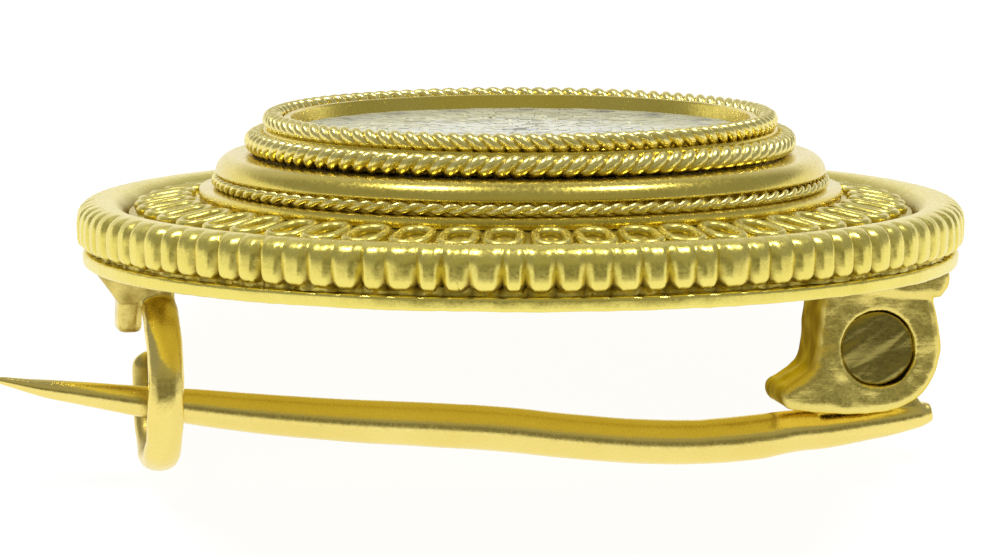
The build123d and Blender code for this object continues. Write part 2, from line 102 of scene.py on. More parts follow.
CATCH_X = -11.5
CATCH_WIDTH = 1.15
CATCH_THICKNESS = 0.80
CATCH_OUTER_RADIUS = 2.82
CATCH_CENTRE_HEIGHT = -3.60
CATCH_ROOT = math.radians(98.0)
CATCH_SWEEP = math.radians(278.0)
CATCH_BASE_REACH = 1.95
CATCH_BASE_DEPTH = 1.05
HINGE_X = 11.17
HINGE_HEIGHT = -2.75
LUG_INNER_Y = 0.61
LUG_OUTER_Y = 1.71
LUG_SIDE_REACH = 1.95
HINGE_BASE_REACH = 2.30
HINGE_WALL = 0.40
KNUCKLE_WIDTH = 1.10
KNUCKLE_RADIUS = 1.50
RIVET_RADIUS = 0.80
RIVET_HEAD_RADIUS = 1.18
RIVET_HEAD_Y = 1.49
RIVET_SINK_RADIUS = 1.20
RIVET_SINK_DEPTH = 0.50
STEM_RADIUS = 0.71

# Places along the stem from the knuckle to the point: X, height, and share of the full radius.
# The shank is fused with the heel; the last two of its places are also where the free rod comes out.
STEM_SHANK = [(9.77, -5.48, 0.87), (8.78, -5.53, 0.94), (7.52, -5.70, 1.00), (5.97, -5.81, 1.00)]
STEM_ROD = [
    (4.43, -5.80, 1.00), (1.90, -5.60, 1.00), (-0.63, -5.30, 1.00), (-3.16, -5.10, 0.99),
    (-5.69, -4.92, 0.95), (-8.22, -4.68, 0.89), (-10.33, -4.42, 0.80), (-12.38, -4.16, 0.66),
    (-13.95, -3.92, 0.52), (-15.24, -3.72, 0.37), (-16.37, -3.49, 0.18), (-16.93, -3.37, 0.05),
]

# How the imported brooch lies: the joint runs along the brooch's -Y and the cloth's way out along its -X
swing = frame["joints"][0]
cloth = frame["record"]["mounts"][0]
ALONG = -Vector(cloth["axis"]).normalized()
BACKWARD = -Vector(swing["axis"]).normalized()
FACE = ALONG.cross(BACKWARD)
TURN = Matrix((ALONG, BACKWARD, FACE)).transposed()
ORIGIN = Vector(swing["pos_m"]) - TURN @ Vector((HINGE_X, 0, HINGE_HEIGHT)) * MM
LAID = Matrix.Translation(ORIGIN) @ TURN.to_4x4() @ Matrix.Scale(MM, 4)


# Shader nodes

def set_socket(node, name, value):
    """Set the value that a node's input has while nothing is linked to it."""
    node.inputs[name].default_value = value


def add_noise(tree, place, scale, detail):
    """Noise at a place, as a value."""
    texture = tree.nodes.new("ShaderNodeTexNoise")
    set_socket(texture, "Scale", scale)
    set_socket(texture, "Detail", detail)
    tree.links.new(place, texture.inputs["Vector"])
    return texture.outputs["Fac"]


def add_range(tree, value, low, high, start=0.0, end=1.0, smooth=False):
    """A value carried from start and end over to low and high, and held there."""
    node = tree.nodes.new("ShaderNodeMapRange")
    if smooth:
        node.interpolation_type = "SMOOTHSTEP"
    for name, number in (("From Min", start), ("From Max", end), ("To Min", low), ("To Max", high)):
        set_socket(node, name, number)
    tree.links.new(value, node.inputs["Value"])
    return node.outputs["Result"]


def add_math(tree, operation, first, second):
    """Two values joined."""
    node = tree.nodes.new("ShaderNodeMath")
    node.operation = operation
    tree.links.new(first, node.inputs[0])
    tree.links.new(second, node.inputs[1])
    return node.outputs["Value"]


def add_colour_mix(tree, factor):
    """Mix of two colours; its sockets A and B are still to be filled."""
    node = tree.nodes.new("ShaderNodeMix")
    node.data_type = "RGBA"
    tree.links.new(factor, node.inputs["Factor"])
    return node


def add_attribute(tree, name):
    """Value or colour that the mesh keeps under a name."""
    node = tree.nodes.new("ShaderNodeAttribute")
    node.attribute_name = name
    return node


def add_bump(tree, shader, height, strength):
    """Relief far finer than the mesh, 0.02 mm deep at full strength."""
    bump = tree.nodes.new("ShaderNodeBump")
    set_socket(bump, "Strength", strength)
    set_socket(bump, "Distance", 0.02 * MM)
    tree.links.new(height, bump.inputs["Height"])
    tree.links.new(bump.outputs["Normal"], shader.inputs["Normal"])


def new_material(name):
    """A new material with its node tree and its shader."""
    material = bpy.data.materials.new(name)
    material.use_nodes = True
    return material, material.node_tree, material.node_tree.nodes["Principled BSDF"]


def new_group(name, inputs, outputs):
    """An empty shader node group with named inputs and outputs."""
    group = bpy.data.node_groups.new(name, "ShaderNodeTree")
    for socket_name, kind, default in inputs:
        socket = group.interface.new_socket(name=socket_name, in_out="INPUT", socket_type=kind)
        socket.default_value = default
    for socket_name, kind in outputs:
        group.interface.new_socket(name=socket_name, in_out="OUTPUT", socket_type=kind)
    entry = group.nodes.new("NodeGroupInput")
    leave = group.nodes.new("NodeGroupOutput")
    return group, entry, leave


# Finishes

def make_worked_metal_group():
    """Hand-worked gold: tone that varies, painted shade in deep places, a soft grain and fine scratches."""
    group, entry, leave = new_group(
        "worked_metal",
        [
            ("Bright", "NodeSocketColor", (0.9, 0.7, 0.3, 1)),
            ("Deep", "NodeSocketColor", (0.6, 0.4, 0.1, 1)),
            ("Shade_and_soil", "NodeSocketColor", (0.30, 0.21, 0.03, 1)),
            ("Recess", "NodeSocketFloat", 0.0),
            ("Roughness", "NodeSocketFloat", 0.25),
            ("Scratches", "NodeSocketFloat", 0.3),
        ],
        [("Color", "NodeSocketColor"), ("Roughness", "NodeSocketFloat"), ("Height", "NodeSocketFloat")],
    )
    links = group.links
    place = group.nodes.new("ShaderNodeTexCoord").outputs["Object"]
    cloudy = add_noise(group, place, scale=520.0, detail=3.0)
    grain = add_noise(group, place, scale=9000.0, detail=4.0)
    stretch = group.nodes.new("ShaderNodeMapping")
    set_socket(stretch, "Rotation", (0.4, 0.3, 0.5))
    set_socket(stretch, "Scale", (900.0, 9000.0, 9000.0))
    links.new(place, stretch.inputs["Vector"])
    hair = add_noise(group, stretch.outputs["Vector"], scale=1.0, detail=2.0)

    tone = add_colour_mix(group, cloudy)
    links.new(entry.outputs["Deep"], tone.inputs["A"])
    links.new(entry.outputs["Bright"], tone.inputs["B"])
    # Painted shade: where the mesh is marked, the tone is mixed towards the dark shade colour.
    shaded_and_soiled = add_colour_mix(group, entry.outputs["Recess"])
    links.new(tone.outputs["Result"], shaded_and_soiled.inputs["A"])
    links.new(entry.outputs["Shade_and_soil"], shaded_and_soiled.inputs["B"])
    links.new(shaded_and_soiled.outputs["Result"], leave.inputs["Color"])

    matte = add_range(group, grain, start=0.35, end=0.70, low=-0.05, high=0.09)
    rough = add_math(group, "ADD", matte, entry.outputs["Roughness"])
    rougher_in_shade_and_soil = group.nodes.new("ShaderNodeMath")
    rougher_in_shade_and_soil.operation = "MULTIPLY_ADD"
    rougher_in_shade_and_soil.use_clamp = True
    rougher_in_shade_and_soil.inputs[1].default_value = 0.25
    links.new(entry.outputs["Recess"], rougher_in_shade_and_soil.inputs[0])
    links.new(rough, rougher_in_shade_and_soil.inputs[2])
    links.new(rougher_in_shade_and_soil.outputs["Value"], leave.inputs["Roughness"])

    scratch = add_math(group, "MULTIPLY", hair, entry.outputs["Scratches"])
    links.new(add_math(group, "ADD", grain, scratch), leave.inputs["Height"])
    return group


WORKED_METAL = make_worked_metal_group()


def gold(name, bright, deep, roughness, scratches=0.3, relief=0.25, deep_edge=False):
    """Gold with its own tone, polish and grain. A deep edge keeps its colour where it is seen aslant."""
    material, tree, shader = new_material(name)
    set_socket(shader, "Metallic", 1.0)
    worked = tree.nodes.new("ShaderNodeGroup")
    worked.node_tree = WORKED_METAL
    set_socket(worked, "Bright", (*bright, 1))
    set_socket(worked, "Deep", (*deep, 1))
    set_socket(worked, "Roughness", roughness)
    set_socket(worked, "Scratches", scratches)
    # The mesh's recess mark sets how much painted shade each place gets.
    tree.links.new(add_attribute(tree, "recess").outputs["Fac"], worked.inputs["Recess"])
    add_bump(tree, shader, worked.outputs["Height"], relief)
    tree.links.new(worked.outputs["Color"], shader.inputs["Base Color"])
    if deep_edge:
        tree.links.new(worked.outputs["Color"], shader.inputs["Specular Tint"])
    tree.links.new(worked.outputs["Roughness"], shader.inputs["Roughness"])
    return material


SATIN = gold("gold_satin", bright=(0.92, 0.80, 0.22), deep=(0.78, 0.65, 0.12), roughness=0.28)
ROPE_GOLD = gold("gold_rope", bright=(0.97, 0.86, 0.34), deep=(0.86, 0.73, 0.22), roughness=0.27)
TURNED_GOLD = gold(
    "gold_turned", bright=(0.81, 0.67, 0.15), deep=(0.68, 0.54, 0.09), roughness=0.24,
    scratches=0.6, relief=0.20)
BRIGHT_GOLD = gold(
    "gold_bright", bright=(0.94, 0.79, 0.27), deep=(0.85, 0.67, 0.17), roughness=0.22,
    scratches=0.5, relief=0.15)
LUG_GOLD = gold(
    "gold_filed", bright=(0.92, 0.78, 0.24), deep=(0.76, 0.61, 0.15), roughness=0.28,
    scratches=0.9, relief=0.30, deep_edge=True)
# Painted shade: the rivet's gold is made dark for the shade and dark reflections in its sunk seats.
SHADED_RIVET_GOLD = gold(
    "gold_rivet_shaded", bright=(0.46, 0.38, 0.10), deep=(0.22, 0.18, 0.05), roughness=0.30,
    scratches=1.2, relief=0.35, deep_edge=True)


def make_glass_piece_material():
    """Opaque glass pieces, each in its own colour, ground and faintly streaked."""
    material, tree, shader = new_material("mosaic_glass")
    set_socket(shader, "IOR", 1.5)
    set_socket(shader, "Coat Weight", 0.35)
    set_socket(shader, "Coat Roughness", 0.12)
    place = tree.nodes.new("ShaderNodeTexCoord").outputs["Object"]
    streak = add_noise(tree, place, scale=6500.0, detail=3.0)
    tinted = tree.nodes.new("ShaderNodeVectorMath")
    tinted.operation = "SCALE"
    tree.links.new(add_attribute(tree, "stone").outputs["Color"], tinted.inputs[0])
    tree.links.new(add_range(tree, streak, low=0.86, high=1.10), tinted.inputs["Scale"])
    tree.links.new(tinted.outputs["Vector"], shader.inputs["Base Color"])
    tree.links.new(add_range(tree, streak, low=0.22, high=0.48), shader.inputs["Roughness"])
    add_bump(tree, shader, streak, strength=0.2)
    return material


GLASS_PIECES = make_glass_piece_material()


# Working in mesh

STOOD_UP = Matrix.Rotation(math.pi / 2, 4, "X")    # turns what lies flat to face along Y


def lay_down(name, bm, material, nodes, body="brooch", crease=40.0):
    """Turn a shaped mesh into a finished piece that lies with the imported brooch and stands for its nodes."""
    bm.transform(LAID)
    mesh = bpy.data.meshes.new(name)
    bm.to_mesh(mesh)
    bm.free()
    mesh.shade_smooth()
    if crease:
        mesh.set_sharp_from_angle(angle=math.radians(crease))
    mesh.materials.append(material)
    piece = bpy.data.objects.new(name, mesh)
    bpy.context.scene.collection.objects.link(piece)
    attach(piece, body)
    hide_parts(*nodes)
    return piece


def ramp(value, start, end):
    """Share of the way from start to end, held between 0 and 1."""
    return max(0.0, min(1.0, (value - start) / (end - start)))


def off_axis(point):
    """Distance of a point from the brooch's axis."""
    return math.hypot(point.x, point.y)


def rounded(bm, edges, width, segments=3, clamp=False):
    """Break edges to a rounding of the given width."""
    bmesh.ops.bevel(
        bm, geom=edges, offset=width, segments=segments, profile=0.5, affect="EDGES", material=-1,
        clamp_overlap=clamp)


def sharp_edges(bm, degrees):
    """Edges whose two faces meet at more than an angle."""
    bm.normal_update()
    return [e for e in bm.edges if len(e.link_faces) == 2 and e.calc_face_angle() > math.radians(degrees)]


def turned(outline, steps, bevel=0.0):
    """Closed outline of radius and height, turned once about the brooch's axis, with its corners broken."""
    bm = bmesh.new()
    corners = [bm.verts.new((radius, 0, height)) for radius, height in outline]
    sides = [bm.edges.new((a, b)) for a, b in zip(corners, corners[1:] + corners[:1])]
    bmesh.ops.spin(
        bm, geom=corners + sides, cent=(0, 0, 0), axis=(0, 0, 1), angle=2 * math.pi, steps=steps,
        use_merge=True)
    bmesh.ops.remove_doubles(bm, verts=bm.verts, dist=1e-5)
    bmesh.ops.recalc_face_normals(bm, faces=bm.faces)
    if bevel:
        rounded(bm, sharp_edges(bm, 30), bevel, segments=2, clamp=True)
    return bm


def curve_mesh(curve):
    """Mesh of a curve, which is used up."""
    holder = bpy.data.objects.new(curve.name, curve)
    mesh = bpy.data.meshes.new_from_object(holder)
    bpy.data.objects.remove(holder)
    bpy.data.curves.remove(curve)
    bm = bmesh.new()
    bm.from_mesh(mesh)
    bpy.data.meshes.remove(mesh)
    bmesh.ops.remove_doubles(bm, verts=bm.verts, dist=1e-5)
    bmesh.ops.recalc_face_normals(bm, faces=bm.faces)
    return bm


def closed_wires(lines, radius):
    """Round wires along closed lines of points, as one mesh."""
    curve = bpy.data.curves.new("wire", "CURVE")
    curve.dimensions = "3D"
    curve.bevel_depth = radius
    curve.bevel_resolution = 3
    for line in lines:
        spline = curve.splines.new("POLY")
        spline.points.add(len(line) - 1)
        for point, place in zip(spline.points, line):
            point.co = (*place, 1)
        spline.use_cyclic_u = True
    return curve_mesh(curve)


def add_mesh(target, source):
    """Put one mesh into another."""
    mesh = bpy.data.meshes.new("part")
    source.to_mesh(mesh)
    source.free()
    target.from_mesh(mesh)
    bpy.data.meshes.remove(mesh)


def fused(bm, voxel, smoothing):
    """Overlapping solids run together as soldered or cast metal, with soft inner corners."""
    # The voxels lie aslant, so that flat faces don't come out in steps.
    aslant = Euler((0.5, 0.35, 0.4)).to_matrix().to_4x4()
    bmesh.ops.recalc_face_normals(bm, faces=bm.faces)
    bm.transform(aslant)
    mesh = bpy.data.meshes.new("fused")
    bm.to_mesh(mesh)
    bm.free()
    holder = bpy.data.objects.new("fused", mesh)
    bpy.context.scene.collection.objects.link(holder)
    remesh = holder.modifiers.new("voxels", "REMESH")
    remesh.mode = "VOXEL"
    remesh.voxel_size = voxel
    soften = holder.modifiers.new("soften", "SMOOTH")
    soften.factor = 0.5
    soften.iterations = smoothing
    result = bpy.data.meshes.new_from_object(holder.evaluated_get(bpy.context.evaluated_depsgraph_get()))
    bpy.data.objects.remove(holder)
    bpy.data.meshes.remove(mesh)
    bm = bmesh.new()
    bm.from_mesh(result)
    bpy.data.meshes.remove(result)
    bm.transform(aslant.inverted())
    bm.normal_update()
    return bm


def work_by_hand(bm, depth, size):
    """Move a surface in and out a little, as filing and hammering leave it."""
    bm.normal_update()
    for v in bm.verts:
        v.co += v.normal * depth * noise.noise(v.co / size)


def mark(bm, name, value):
    """Keep a number per vertex for the finish, worked out from the vertex."""
    layer = bm.verts.layers.float.new(name)
    for v in bm.verts:
        v[layer] = value(v)


def block(centre, size, round_by):
    """Box with softened edges."""
    bm = bmesh.new()
    bmesh.ops.create_cube(bm, size=1.0, matrix=Matrix.Translation(centre) @ Matrix.Diagonal((*size, 1)))
    rounded(bm, bm.edges[:], round_by)
    return bm


def slab(outline, y_from, y_to, round_by=0.0, hole=None):
    """Plate with an outline drawn as X and height, between two depths; a hole is X, height and radius."""
    bm = bmesh.new()
    rim = [bm.verts.new((x, y_from, z)) for x, z in outline]
    edges = [bm.edges.new((a, b)) for a, b in zip(rim, rim[1:] + rim[:1])]
    if hole:
        x, z, radius = hole
        place = Matrix.Translation((x, y_from, z)) @ STOOD_UP
        ring = bmesh.ops.create_circle(bm, segments=48, radius=radius, matrix=place)["verts"]
        edges += list({e for v in ring for e in v.link_edges})
    bmesh.ops.triangle_fill(bm, use_beauty=True, edges=edges)
    moved = bmesh.ops.extrude_face_region(bm, geom=bm.faces[:])
    verts = [g for g in moved["geom"] if isinstance(g, bmesh.types.BMVert)]
    bmesh.ops.translate(bm, verts=verts, vec=(0, y_to - y_from, 0))
    bmesh.ops.recalc_face_normals(bm, faces=bm.faces)
    if round_by:
        sharp = sharp_edges(bm, 60)
        if hole:
            x, z, radius = hole
            corners = [(e, e.verts[0].co) for e in sharp]
            sharp = [e for e, corner in corners if math.hypot(corner.x - x, corner.z - z) > radius + 0.01]
        rounded(bm, sharp, round_by)
    return bm


def drum(x, z, radius, y_from, y_to, round_by=0.0):
    """Round bar across the brooch."""
    bm = bmesh.new()
    place = Matrix.Translation((x, (y_from + y_to) / 2, z)) @ STOOD_UP
    bmesh.ops.create_cone(
        bm, cap_ends=True, segments=64, radius1=radius, radius2=radius, depth=y_to - y_from, matrix=place)
    if round_by:
        rounded(bm, sharp_edges(bm, 60), round_by)
    return bm


def arc(x, z, radius, start, end, steps):
    """Points of an arc, angles in degrees from +X towards +Z."""
    angles = [math.radians(start + (end - start) * i / steps) for i in range(steps + 1)]
    return [(x + radius * math.cos(a), z + radius * math.sin(a)) for a in angles]


# The brooch's front

def make_plate():
    """Flat plate, hammered out, with its edge rounded above and below and painted shade on the underside."""
    low_round, top_round = 0.13, 0.12
    low_inset = 0.15
    painted_shade, unshaded_edge = 0.45, 0.4
    lower = arc(PLATE_RADIUS - low_inset, low_round, low_round, start=-90, end=-6, steps=5)
    upper = arc(PLATE_RADIUS - top_round, PLATE_TOP - top_round, top_round, start=-6, end=90, steps=6)
    rings = [2.0 * i for i in range(1, 7)]
    under = [(0, 0), *((radius, 0) for radius in rings)]
    over = [(radius, PLATE_TOP) for radius in reversed(rings)] + [(0, PLATE_TOP)]
    bm = turned(under + lower + upper + over, steps=640)
    work_by_hand(bm, depth=0.018, size=2.4)
    work_by_hand(bm, depth=0.018, size=0.45)

    # Painted shade on the underside, short of the edge.
    def underside_shade(v):
        return painted_shade if v.co.z < low_round and off_axis(v.co) < PLATE_RADIUS - unshaded_edge else 0.0
    mark(bm, "recess", underside_shade)
    return lay_down("closing_plate", bm, SATIN, ["back_plate"])


def rim_section():
    """Section of the rim's wire: round inside, filed nearly square outside, a little flattened on top."""
    square_below, square_above = 4.6, 2.6
    foot_share = 0.90
    flattening = 0.09
    bm = bmesh.new()
    place = Matrix.Translation((RIM_CENTRE_RADIUS, 0, RIM_CENTRE_HEIGHT)) @ STOOD_UP
    bmesh.ops.create_circle(bm, segments=28, radius=RIM_WIRE_RADIUS, matrix=place)
    for v in bm.verts:
        radial, upward = v.co.x - RIM_CENTRE_RADIUS, v.co.z - RIM_CENTRE_HEIGHT
        if radial > 0:
            squareness = square_below if upward < 0 else square_above
            across, up = radial / RIM_WIRE_RADIUS, abs(upward) / RIM_WIRE_RADIUS
            swell = (across ** squareness + up ** squareness) ** (-1 / squareness)
            v.co.x = RIM_CENTRE_RADIUS + radial * swell
            v.co.z = RIM_CENTRE_HEIGHT + upward * swell * (foot_share if upward < 0 else 1.0)
        if upward > 0:
            v.co.z -= flattening * (v.co.z - RIM_CENTRE_HEIGHT)
    return bm


def groove_depth(height_angle):
    """Depth of the grooves between ribs, by the angle up the rim's section: full at the foot, none on top."""
    full = 0.26
    back, foot, top = -140, -20, 74
    degrees = math.degrees(height_angle)
    if degrees > top or degrees < back:
        return 0.0
    if degrees < foot:
        return full
    return full * (1 - (degrees - foot) / (top - foot)) ** 0.75


def rib_flank(within):
    """How far down a rib's side a share of its width lies: 0 on the flat middle, 1 in the groove."""
    flat_share = 0.36
    from_middle = abs(2 * within - 1)
    rise = max(0.0, (from_middle - flat_share) / (1 - flat_share))
    smooth_side = rise * rise * (3 - 2 * rise)
    narrow_cut = from_middle ** 5
    return smooth_side * 0.6 + narrow_cut * 0.4


def rim_solder():
    """Ring of solder under the ribs, uneven outside, with painted shade that is darkest below the grooves."""
    solder = turned([(12.9, 0.46), (13.66, 0.46), (13.66, 0.56), (13.56, 0.72), (13.1, 0.80)], steps=1200)
    outer_side = 13.3
    furthest_in = 0.30
    layer = solder.verts.layers.float.new("recess")
    for v in solder.verts:
        run = noise.noise(Vector((v.co.x, v.co.y, 0)) * 0.8) + 0.5 * noise.noise(v.co * 3.0)
        reach = off_axis(v.co)
        inward = furthest_in * ramp(run, 0.45, -0.55)
        if reach > outer_side:
            v.co.x *= 1 - inward / reach
            v.co.y *= 1 - inward / reach
        within = math.atan2(v.co.y, v.co.x) / (2 * math.pi) * RIM_RIBS % 1
        below_groove = abs(2 * within - 1) ** 3
        # Painted shade under the ribs, darkest below the grooves.
        v[layer] = 0.35 + 0.5 * below_groove + 0.2 * noise.noise(v.co * 2.0)
    return solder


def make_reeded_rim():
    """Thick wire ring with its outside parted into uneven ribs, soldered down to the plate."""
    steps_per_rib = 14
    bm = rim_section()
    bmesh.ops.spin(
        bm, geom=bm.verts[:] + bm.edges[:], cent=(0, 0, 0), axis=(0, 0, 1), angle=2 * math.pi,
        steps=RIM_RIBS * steps_per_rib, use_merge=True)
    bmesh.ops.recalc_face_normals(bm, faces=bm.faces)
    shifts = [rng.uniform(-0.10, 0.10) for _ in range(RIM_RIBS)]
    swells = [rng.uniform(-0.030, 0.0) for _ in range(RIM_RIBS)]
    cuts = [rng.uniform(0.55, 1.15) for _ in range(RIM_RIBS)]
    recess = bm.verts.layers.float.new("recess")
    for v in bm.verts:
        turn = math.atan2(v.co.y, v.co.x)
        share = turn / (2 * math.pi) * RIM_RIBS % RIM_RIBS
        rib = int(share) % RIM_RIBS
        next_rib = (rib + 1) % RIM_RIBS
        within = share - int(share)
        shift = shifts[rib] * (1 - within) + shifts[next_rib] * within
        radial = off_axis(v.co) - RIM_CENTRE_RADIUS
        upward = v.co.z - RIM_CENTRE_HEIGHT

        # The section is drawn in towards its centre: most in a groove, and unevenly all over.
        flank = rib_flank(within)
        cut = cuts[rib] if within < 0.5 else cuts[next_rib]
        depth = groove_depth(math.atan2(upward, radial)) * cut / RIM_WIRE_RADIUS
        rough = 0.014 * noise.noise(v.co * 1.6) + 0.012 * noise.noise(v.co * 4.5)
        scale = min(1.0, 1 - depth * flank + swells[rib] * (1 - flank) * min(1.0, 4 * depth) + rough)
        ring = RIM_CENTRE_RADIUS + radial * scale
        new_turn = turn + 2 * math.pi / RIM_RIBS * shift
        v.co = (ring * math.cos(new_turn), ring * math.sin(new_turn), RIM_CENTRE_HEIGHT + upward * scale)

        # Painted shade sits in the grooves, most at their foot, and along the foot of the rim's inner side.
        groove_foot = ramp(upward, -0.25, -0.50)
        groove_shade = (0.15 + 0.75 * groove_foot) * ramp(flank, 0.3, 1.0) * min(1.0, depth / 0.2)
        inner_foot = ramp(upward, 0.66, 0.36) if radial < -0.2 else 0.0
        inner_foot_shade = 0.75 * inner_foot * (1 + 0.4 * noise.noise(v.co * 0.7))
        v[recess] = max(groove_shade, inner_foot_shade)
    add_mesh(bm, rim_solder())
    return lay_down("reeded_wire_rim", bm, SATIN, ["reeded_rim"])


def make_filigree_field():
    """Sloping sheet with a ring of round wire loops soldered on it."""
    sheet_shade, shelf_shade = 0.45, 0.2
    inner_foot = FIELD_RADIUS - FIELD_SHEET
    bottom = PLATE_TOP + SOLDER_GAP
    under_shelf = FIELD_SHELF_HEIGHT - FIELD_SHEET
    bm = turned([
        (FIELD_RADIUS, bottom), (FIELD_RADIUS, FIELD_EDGE_HEIGHT),
        (STEP_RADIUS, FIELD_SHELF_HEIGHT), (COLLAR_INNER_RADIUS, FIELD_SHELF_HEIGHT),
        (COLLAR_INNER_RADIUS, under_shelf), (STEP_RADIUS, under_shelf),
        (inner_foot, FIELD_EDGE_HEIGHT - FIELD_SHEET), (inner_foot, bottom),
    ], steps=200, bevel=0.05)
    # Painted shade on the sheet out past the step, and less on the shelf under the collar.
    mark(bm, "recess", lambda v: sheet_shade if off_axis(v.co) > STEP_RADIUS else shelf_shade)

    # One loop, drawn flat about its middle, is seated round the ring with small errors.
    wire_radius = 0.165
    widened = 0.09
    lift = 0.09
    usual_soil = 0.10
    half = LOOP_LENGTH / 2 - wire_radius
    end = LOOP_WIDTH / 2 + widened - wire_radius
    straight = half - end
    loop = [(straight + x, y) for x, y in arc(0, 0, end, start=-90, end=90, steps=8)]
    loop += [(x - straight, y) for x, y in arc(0, 0, end, start=90, end=270, steps=8)]
    middle_height = FIELD_EDGE_HEIGHT + (FIELD_RADIUS - LOOP_CENTRE_RADIUS) * math.tan(FIELD_SLOPE)
    lines = []
    for i in range(LOOP_COUNT):
        seat = (
            Matrix.Rotation(2 * math.pi * i / LOOP_COUNT + rng.uniform(-0.006, 0.006), 4, "Z")
            @ Matrix.Translation((LOOP_CENTRE_RADIUS + rng.uniform(-0.03, 0.03), 0, middle_height + lift))
            @ Matrix.Rotation(FIELD_SLOPE, 4, "Y") @ Matrix.Rotation(rng.uniform(-0.05, 0.05), 4, "Z"))
        wide = rng.uniform(0.96, 1.04)
        lines.append([seat @ Vector((x, y * wide, 0)) for x, y in loop])
    loops = closed_wires(lines, wire_radius)
    mark(loops, "recess", lambda v: usual_soil * (1 + noise.noise(v.co * 3.0)))
    add_mesh(bm, loops)
    return lay_down("wire_loop_field", bm, SATIN, ["filigree_field"])


def make_rope(name, node, ring_radius, height, diameter, lobes, rises, painted_shade):
    """Two wires twisted together and bent into a ring. Its lobes rise to the right or to the left."""
    strand_share = 0.285
    stations_per_lobe = 8
    strand = diameter * strand_share
    throw = diameter / 2 - strand
    stations = lobes * stations_per_lobe
    lay = 1 if rises == "right" else -1
    lines = []
    for start in (0.0, math.pi):
        line = []
        for i in range(stations):
            turn = 2 * math.pi * i / stations
            twist = start + lay * lobes / 2 * turn
            sway = 0.008 * math.sin(9 * turn) + 0.006 * math.sin(23 * turn + start)
            radius = ring_radius + throw * math.cos(twist) + sway
            line.append((radius * math.cos(turn), radius * math.sin(turn), height + throw * math.sin(twist)))
        lines.append(line)
    bm = closed_wires(lines, strand)

    def between_strands(v):
        """Painted shade that thins out from the rope's heart to its outside."""
        out = math.hypot(off_axis(v.co) - ring_radius, v.co.z - height) / (diameter / 2)
        return ramp(out, 0.78, 0.43) * painted_shade
    mark(bm, "recess", between_strands)
    return lay_down(name, bm, ROPE_GOLD, [node], crease=None)


def make_collar():
    """Hollow ring: flat step, seat for the fine rope, and the round moulding above it."""
    seat = ROPE_SEAT_RADIUS + 0.13
    moulding = arc(COLLAR_TOP_RADIUS, MOULD_BOTTOM, MOULD_RADIUS, start=0, end=90, steps=12)
    bm = turned([
        (COLLAR_INNER_RADIUS, STEP_BOTTOM), (STEP_RADIUS, STEP_BOTTOM), (STEP_RADIUS, STEP_TOP),
        (seat, STEP_TOP), (seat, MOULD_BOTTOM), *moulding,
        (COLLAR_SEAT_INNER, COLLAR_TOP), (COLLAR_SEAT_INNER, COLLAR_TOP - COLLAR_WALL),
        (COLLAR_INNER_RADIUS, COLLAR_TOP - COLLAR_WALL),
    ], steps=256, bevel=0.045)
    work_by_hand(bm, depth=0.008, size=1.6)
    return lay_down("turned_collar", bm, TURNED_GOLD, ["collar"])


def make_bezel():
    """Shallow cup with a thin burnished lip round the mosaic; its wall is soldered to both ropes."""
    inner = BEZEL_LIP_RADIUS - BEZEL_WALL
    outer = BEZEL_RADIUS + 0.18
    floor = BEZEL_BOTTOM + BEZEL_FLOOR
    shoulder = BEZEL_SHOULDER + 0.08
    bm = turned([
        (0, BEZEL_BOTTOM), (outer, BEZEL_BOTTOM), (outer, shoulder),
        (BEZEL_LIP_RADIUS, shoulder), (BEZEL_LIP_RADIUS, BEZEL_LIP), (inner, BEZEL_LIP),
        (inner, floor), (0, floor),
    ], steps=256, bevel=0.07)
    work_by_hand(bm, depth=0.012, size=1.2)
    return lay_down("bezel_cup", bm, TURNED_GOLD, ["bezel"])


def piece_colour(radius, turn):
    """Colour of the generic design: cream ground, a grey chain border and an eight-petal flower."""
    cream = (0.70, 0.70, 0.47)
    white = (0.73, 0.73, 0.56)
    lilac = (0.64, 0.64, 0.51)
    slate = (0.48, 0.48, 0.41)
    edge, chain, inner_line, heart = 0.94, 0.85, 0.80, 0.10
    links = 18
    petal = 0.34 + 0.22 * abs(math.cos(4 * turn))
    petal_outline = 0.09
    share = radius / MOSAIC_RADIUS
    if share > edge:
        return lilac
    if share > chain:
        return slate if math.cos(links * turn) > 0.55 else white
    if share > inner_line:
        return lilac
    if share < heart:
        return slate
    if share < petal - petal_outline:
        return white
    if share < petal:
        return lilac
    return cream


